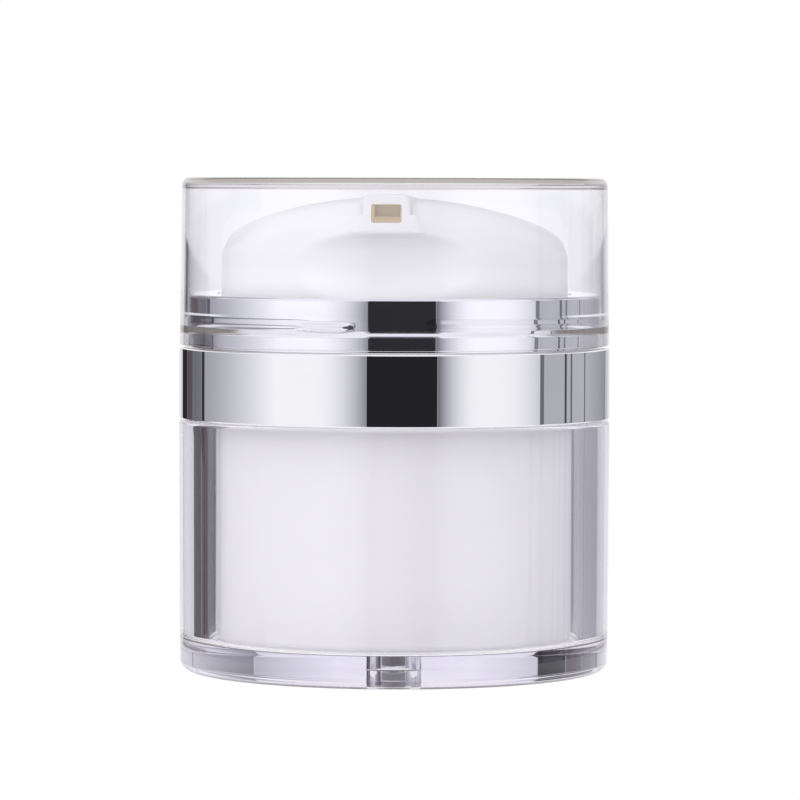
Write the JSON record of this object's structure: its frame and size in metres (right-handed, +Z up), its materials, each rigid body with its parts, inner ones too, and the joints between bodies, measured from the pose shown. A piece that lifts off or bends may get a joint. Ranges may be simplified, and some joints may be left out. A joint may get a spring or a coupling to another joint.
{
  "type": "airless jar",
  "caption": "Round airless cosmetic jar with a clear lift-off cap, a spouted press head, a bright collar and a white inner cup inside a thick clear outer jar.",
  "frame": {"origin": "centre of the foot, on the plane that the jar stands on", "axes": "+Z up along the jar's axis, out through the cap; -Y towards the spout, which is the front; +X to the viewer's right when the viewer looks at the spout"},
  "size_m": [0.057, 0.057, 0.065],
  "materials": {
    "clear_jar": "clear polished acrylic, thick-walled",
    "clear_cap": "clear polished styrene copolymer, thin-walled",
    "white_cup": "smooth white polypropylene, seen through the clear jar",
    "white_head": "smooth white polypropylene with a soft sheen",
    "chrome_collar": "bright metallised, mirror-smooth",
    "white_ring": "natural white polypropylene",
    "white_plate": "natural white polypropylene",
    "white_core": "natural white polypropylene",
    "soft_white": "soft low-density polyethylene, waxy",
    "bright_steel": "bright drawn stainless steel",
    "seal_foam": "closed-cell foam sheet"
  },
  "bodies": {
    "base": {"outer_jar": "clear_jar", "inner_cup": "white_cup", "plate_gasket": "seal_foam", "pump_plate": "white_plate", "closure_ring": "white_ring", "collar_sleeve": "chrome_collar", "pump_cylinder": "white_plate", "valve_cage": "soft_white", "stem_guide": "white_plate", "return_spring": "bright_steel"},
    "cap": {"overcap": "clear_cap"},
    "follower": {"follower_piston": "soft_white"},
    "ball": {"intake_ball": "bright_steel"},
    "plunger": {"stem": "white_core", "stem_tip": "white_core"},
    "head": {"press_head": "white_head", "nozzle_core": "white_core"},
    "piston": {"pump_piston": "soft_white"}
  },
  "joints": [
    {"name": "overcap_lift", "type": "slide", "parent": "base", "child": "cap", "axis": [0, 0, 1], "range_m": [0, 0.024]},
    {"name": "follower_rise", "type": "slide", "parent": "base", "child": "follower", "axis": [0, 0, 1], "range_m": [0, 0.0202]},
    {"name": "ball_lift", "type": "slide", "parent": "base", "child": "ball", "axis": [0, 0, 1], "range_m": [0, 0.0007]},
    {"name": "head_press", "type": "slide", "parent": "base", "child": "plunger", "axis": [0, 0, -1], "range_m": [0, 0.005], "stiffness_N_per_m": 1500, "springref_m": -0.003, "deforming": ["return_spring"]},
    {"name": "head_turn", "type": "hinge", "parent": "plunger", "child": "head", "pos_m": [0, 0, 0.0474], "axis": [0, 0, 1], "continuous": true},
    {"name": "piston_slip", "type": "slide", "parent": "plunger", "child": "piston", "axis": [0, 0, 1], "range_m": [0, 0.001]}
  ]
}
